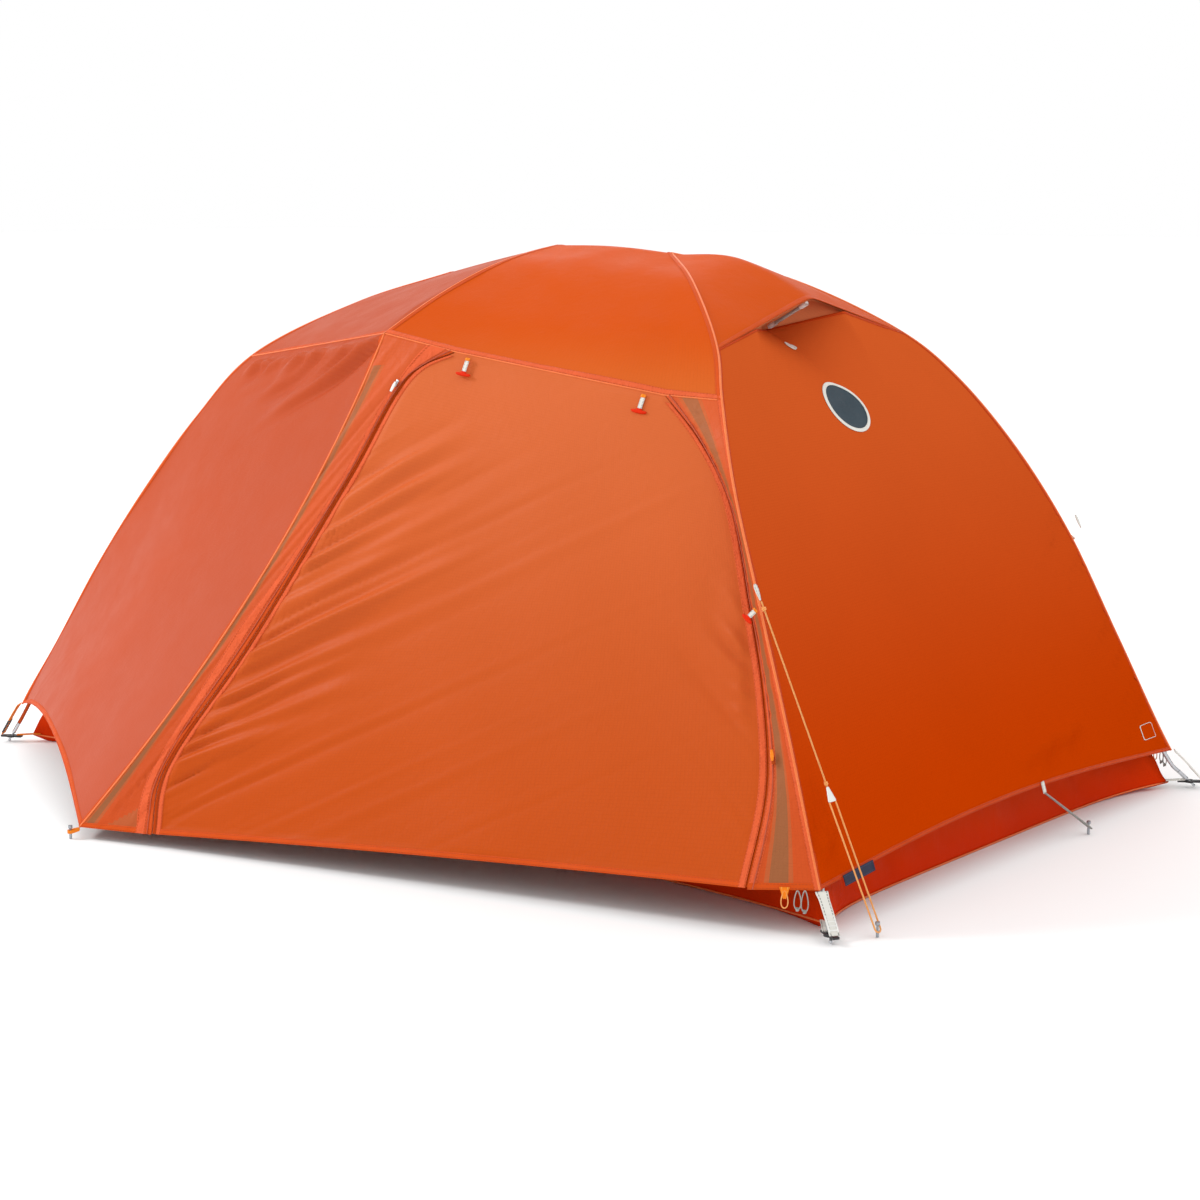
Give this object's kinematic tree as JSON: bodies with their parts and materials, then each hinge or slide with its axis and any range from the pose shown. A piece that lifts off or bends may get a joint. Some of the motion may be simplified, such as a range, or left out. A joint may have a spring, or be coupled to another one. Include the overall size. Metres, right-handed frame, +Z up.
{
  "type": "dome tent",
  "caption": "Freestanding backpacking dome tent: hubbed poles carry a fly with opening doors and a roof vent over a mesh inner tent with a waterproof floor.",
  "frame": {"origin": "on the ground under the middle of the tent", "axes": "+X towards the head end, which is wider and has the roof vent; -Y towards the near door; +Z up"},
  "size_m": [2.3332, 2.052, 1.1061],
  "materials": {
    "fly_nylon": "satin",
    "roof_nylon": "satin",
    "floor_nylon": "satin",
    "inner_mesh": "matte",
    "webbing": "matte",
    "orange_aluminium": "satin",
    "silver_aluminium": "satin",
    "black_plastic": "satin",
    "red_plastic": "gloss",
    "zip_metal": "polished",
    "cord": "matte"
  },
  "bodies": {
    "tent": {"fly_roof_head": "roof_nylon", "vent_hood": "roof_nylon", "fly_roof_foot": "fly_nylon", "near_foot_panel": "fly_nylon", "near_foot_strip": "fly_nylon", "near_head_strip": "fly_nylon", "far_foot_panel": "fly_nylon", "far_foot_strip": "fly_nylon", "far_head_strip": "fly_nylon", "fly_head_wall": "fly_nylon", "fly_foot_wall": "fly_nylon", "head_hub": "black_plastic", "foot_hub": "black_plastic", "brow_swivel": "black_plastic", "ridge_pole": "orange_aluminium", "leg_pole_c": "orange_aluminium", "leg_pole_d": "orange_aluminium", "brow_pole": "orange_aluminium", "leg_pole_a": "silver_aluminium", "leg_pole_b": "silver_aluminium", "pole_tip_a": "silver_aluminium", "pole_tip_b": "silver_aluminium", "pole_tip_c": "silver_aluminium", "pole_tip_d": "silver_aluminium", "corner_buckle_a": "black_plastic", "corner_strap_a": "webbing", "corner_buckle_b": "black_plastic", "corner_strap_b": "webbing", "corner_buckle_c": "black_plastic", "corner_strap_c": "webbing", "corner_buckle_d": "black_plastic", "corner_strap_d": "webbing", "floor_tub": "floor_nylon", "inner_near_wall": "inner_mesh", "inner_far_wall": "inner_mesh", "inner_head_wall": "inner_mesh", "inner_foot_wall": "inner_mesh", "guy_peg": "silver_aluminium", "near_vestibule_peg": "silver_aluminium", "far_vestibule_peg": "silver_aluminium", "head_hem_peg": "silver_aluminium", "guyline": "cord", "guyline_loop": "cord", "head_hem_cord": "cord", "guy_tensioner": "webbing"},
    "near_door": {"near_door": "fly_nylon"},
    "near_toggle_a": {"near_toggle_a": "red_plastic"},
    "near_toggle_b": {"near_toggle_b": "red_plastic"},
    "near_leg_toggle": {"near_leg_toggle": "red_plastic"},
    "near_left_slider": {"near_left_slider": "zip_metal"},
    "near_right_slider": {"near_right_slider": "zip_metal"},
    "inner_near_door": {"inner_near_door": "inner_mesh"},
    "far_door": {"far_door": "fly_nylon"},
    "far_toggle_a": {"far_toggle_a": "red_plastic"},
    "far_toggle_b": {"far_toggle_b": "red_plastic"},
    "far_leg_toggle": {"far_leg_toggle": "red_plastic"},
    "far_left_slider": {"far_left_slider": "zip_metal"},
    "far_right_slider": {"far_right_slider": "zip_metal"},
    "inner_far_door": {"inner_far_door": "inner_mesh"},
    "vent_strut": {"vent_strut": "webbing"}
  },
  "joints": [
    {"name": "near_door_lift", "type": "hinge", "parent": "tent", "child": "near_door", "pos_m": [0.159, -0.499, 0.918], "axis": [-0.9772, -0.1577, 0.1421], "range_deg": [0, 75]},
    {"name": "far_door_lift", "type": "hinge", "parent": "tent", "child": "far_door", "pos_m": [0.159, 0.499, 0.918], "axis": [0.9772, -0.1577, -0.1421], "range_deg": [0, 75]},
    {"name": "near_toggle_a_swing", "type": "hinge", "parent": "near_door", "child": "near_toggle_a", "pos_m": [0.1944, -0.4997, 0.907], "axis": [-0.9772, -0.1577, 0.1421], "range_deg": [0, 90]},
    {"name": "far_toggle_a_swing", "type": "hinge", "parent": "far_door", "child": "far_toggle_a", "pos_m": [0.1944, 0.4997, 0.907], "axis": [0.9772, -0.1577, -0.1421], "range_deg": [0, 90]},
    {"name": "near_toggle_b_swing", "type": "hinge", "parent": "near_door", "child": "near_toggle_b", "pos_m": [0.5618, -0.4405, 0.8535], "axis": [-0.9772, -0.1577, 0.1421], "range_deg": [0, 90]},
    {"name": "far_toggle_b_swing", "type": "hinge", "parent": "far_door", "child": "far_toggle_b", "pos_m": [0.5618, 0.4405, 0.8535], "axis": [0.9772, -0.1577, -0.1421], "range_deg": [0, 90]},
    {"name": "near_leg_toggle_swing", "type": "hinge", "parent": "tent", "child": "near_leg_toggle", "pos_m": [0.9, -0.569, 0.514], "axis": [-0.8116, 0.0701, 0.5799], "range_deg": [0, 90]},
    {"name": "far_leg_toggle_swing", "type": "hinge", "parent": "tent", "child": "far_leg_toggle", "pos_m": [0.9, 0.569, 0.514], "axis": [0.8116, 0.0701, -0.5799], "range_deg": [0, 90]},
    {"name": "near_left_slider_run", "type": "slide", "parent": "tent", "child": "near_left_slider", "axis": [-0.2984, -0.4418, -0.846], "range_m": [0, 0.64]},
    {"name": "far_left_slider_run", "type": "slide", "parent": "tent", "child": "far_left_slider", "axis": [-0.2984, 0.4418, -0.846], "range_m": [0, 0.64]},
    {"name": "near_right_slider_run", "type": "slide", "parent": "tent", "child": "near_right_slider", "axis": [-0.3719, 0.3116, 0.8744], "range_m": [0, 0.14]},
    {"name": "far_right_slider_run", "type": "slide", "parent": "tent", "child": "far_right_slider", "axis": [-0.3719, -0.3116, 0.8744], "range_m": [0, 0.14]},
    {"name": "inner_near_door_swing", "type": "hinge", "parent": "tent", "child": "inner_near_door", "pos_m": [-0.332, -0.464, 0.208], "axis": [0.2467, 0.1645, 0.955], "range_deg": [0, 35]},
    {"name": "inner_far_door_swing", "type": "hinge", "parent": "tent", "child": "inner_far_door", "pos_m": [-0.332, 0.464, 0.208], "axis": [-0.2467, 0.1645, -0.955], "range_deg": [0, 35]},
    {"name": "vent_strut_fold", "type": "hinge", "parent": "tent", "child": "vent_strut", "pos_m": [0.617, 0, 1.004], "axis": [0, 1, 0], "range_deg": [0, 36]}
  ]
}
